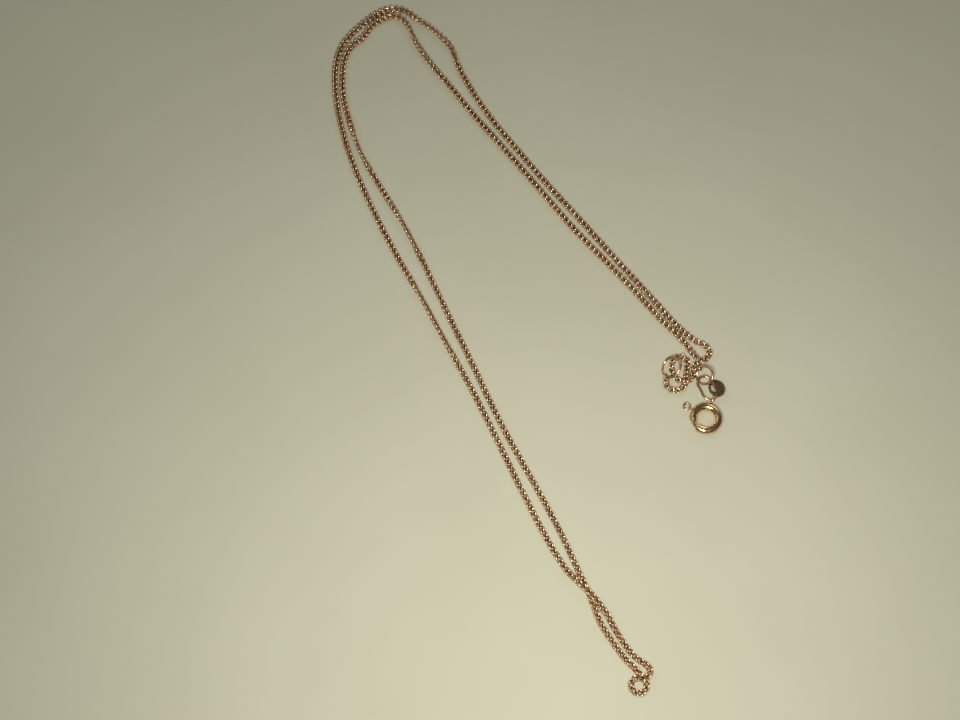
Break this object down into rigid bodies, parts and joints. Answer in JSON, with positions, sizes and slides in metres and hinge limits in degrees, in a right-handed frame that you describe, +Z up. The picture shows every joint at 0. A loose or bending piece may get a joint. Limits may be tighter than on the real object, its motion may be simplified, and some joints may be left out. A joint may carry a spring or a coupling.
{
  "type": "chain necklace",
  "caption": "Fine curb-chain necklace laid out in a long folded loop, with a bolt-ring clasp, jump ring, oval link, blank tag and catch ring.",
  "frame": {"origin": "centre of the laid-out necklace's outline, on the table under it", "axes": "+Z up from the table, +Y away from the viewer along the long way of the loop, +X to the right where the clasp lies"},
  "size_m": [0.0607, 0.1148, 0.0023],
  "materials": {
    "chain_gold": "polished rose-yellow gold",
    "clasp_gold": "polished yellow gold",
    "bolt_gold": "polished yellow gold",
    "ring_gold": "polished gold wire",
    "tag_gold": "polished gold plate",
    "spring_steel": "drawn wire"
  },
  "bodies": {
    "top_bend": {"inner_strand_06": "chain_gold", "outer_strand_07": "chain_gold"},
    "right_strands_1": {"inner_strand_05": "chain_gold", "outer_strand_08": "chain_gold"},
    "right_strands_2": {"inner_strand_04": "chain_gold", "outer_strand_09": "chain_gold"},
    "right_strands_3": {"inner_strand_03": "chain_gold", "outer_strand_10": "chain_gold"},
    "right_strands_4": {"inner_strand_02": "chain_gold", "outer_strand_11": "chain_gold"},
    "right_strands_5": {"inner_strand_01": "chain_gold", "outer_strand_12": "chain_gold", "first_link": "chain_gold", "end_curl_01": "chain_gold", "end_curl_02": "chain_gold", "end_curl_03": "chain_gold", "last_link": "chain_gold"},
    "left_strands_1": {"inner_strand_07": "chain_gold", "outer_strand_06": "chain_gold"},
    "left_strands_2": {"inner_strand_08": "chain_gold", "outer_strand_05": "chain_gold"},
    "left_strands_3": {"inner_strand_09": "chain_gold", "outer_strand_04": "chain_gold"},
    "left_strands_4": {"inner_strand_10": "chain_gold", "outer_strand_03": "chain_gold"},
    "left_strands_5": {"inner_strand_11": "chain_gold", "outer_strand_02": "chain_gold"},
    "left_strands_6": {"inner_strand_12": "chain_gold", "outer_strand_01": "chain_gold", "fold_01": "chain_gold", "fold_02": "chain_gold"},
    "jump_ring": {"jump_ring": "ring_gold"},
    "oval_link": {"oval_link": "ring_gold"},
    "bolt_ring": {"bolt_ring_case": "clasp_gold", "attachment_eye": "clasp_gold", "coil_spring": "spring_steel"},
    "bolt": {"bolt": "bolt_gold", "trigger": "bolt_gold"},
    "quality_tag": {"quality_tag": "tag_gold"},
    "catch_ring": {"catch_ring": "ring_gold"}
  },
  "joints": [
    {"name": "lift_right_1", "type": "hinge", "parent": "top_bend", "child": "right_strands_1", "pos_m": [-0.00817, 0.0402, 0.00034], "axis": [-0.8504, -0.5262, 0], "range_deg": [0, 15]},
    {"name": "lift_right_2", "type": "hinge", "parent": "right_strands_1", "child": "right_strands_2", "pos_m": [-0.00056, 0.02957, 0.00034], "axis": [-0.7996, -0.6006, 0], "range_deg": [0, 15]},
    {"name": "lift_right_3", "type": "hinge", "parent": "right_strands_2", "child": "right_strands_3", "pos_m": [0.00739, 0.01919, 0.00034], "axis": [-0.7885, -0.6151, 0], "range_deg": [0, 15]},
    {"name": "lift_right_4", "type": "hinge", "parent": "right_strands_3", "child": "right_strands_4", "pos_m": [0.01449, 0.01043, 0.00034], "axis": [-0.7713, -0.6365, 0], "range_deg": [0, 15]},
    {"name": "lift_right_5", "type": "hinge", "parent": "right_strands_4", "child": "right_strands_5", "pos_m": [0.0213, 0.00201, 0.00034], "axis": [-0.788, -0.6157, 0], "range_deg": [0, 15]},
    {"name": "lift_left_1", "type": "hinge", "parent": "top_bend", "child": "left_strands_1", "pos_m": [-0.02852, 0.03863, 0.00034], "axis": [-0.9807, -0.1957, 0], "range_deg": [0, 15]},
    {"name": "lift_left_2", "type": "hinge", "parent": "left_strands_1", "child": "left_strands_2", "pos_m": [-0.02416, 0.0254, 0.0004], "axis": [-0.9008, -0.4343, 0], "range_deg": [0, 15]},
    {"name": "lift_left_3", "type": "hinge", "parent": "left_strands_2", "child": "left_strands_3", "pos_m": [-0.01649, 0.01008, 0.00041], "axis": [-0.894, -0.448, 0], "range_deg": [0, 15]},
    {"name": "lift_left_4", "type": "hinge", "parent": "left_strands_3", "child": "left_strands_4", "pos_m": [-0.00845, -0.00656, 0.00039], "axis": [-0.8994, -0.4371, 0], "range_deg": [0, 15]},
    {"name": "lift_left_5", "type": "hinge", "parent": "left_strands_4", "child": "left_strands_5", "pos_m": [-0.00036, -0.02369, 0.00035], "axis": [-0.8984, -0.4393, 0], "range_deg": [0, 15]},
    {"name": "lift_left_6", "type": "hinge", "parent": "left_strands_5", "child": "left_strands_6", "pos_m": [0.00541, -0.03543, 0.00034], "axis": [-0.8925, -0.451, 0], "range_deg": [0, 15]},
    {"name": "jump_ring_swing", "type": "hinge", "parent": "right_strands_5", "child": "jump_ring", "pos_m": [0.02708, -0.00751, 0.00114], "axis": [-0.8988, -0.4384, 0], "range_deg": [0, 12]},
    {"name": "oval_link_swing", "type": "hinge", "parent": "jump_ring", "child": "oval_link", "pos_m": [0.02722, -0.00892, 0.00101], "axis": [-0.9135, -0.4067, 0], "range_deg": [0, 15]},
    {"name": "clasp_swing", "type": "hinge", "parent": "oval_link", "child": "bolt_ring", "pos_m": [0.02879, -0.01246, 0.00073], "axis": [-0.9336, 0.3584, 0], "range_deg": [0, 20]},
    {"name": "bolt_slide_back", "type": "hinge", "parent": "bolt_ring", "child": "bolt", "pos_m": [0.02762, -0.01553, 0.00067], "axis": [0.0125, 0.0326, -0.9994], "range_deg": [0, 36], "stiffness_Nm_per_rad": 0.00002, "deforming": ["coil_spring"]},
    {"name": "tag_swing", "type": "hinge", "parent": "oval_link", "child": "quality_tag", "pos_m": [0.029, -0.01025, 0.00087], "axis": [-0.4057, 0.9113, 0.0698], "range_deg": [0, 15]},
    {"name": "catch_ring_swing", "type": "hinge", "parent": "right_strands_5", "child": "catch_ring", "pos_m": [0.0219, -0.0086, 0.0005], "axis": [0.8341, -0.5516, 0], "range_deg": [0, 25]}
  ]
}
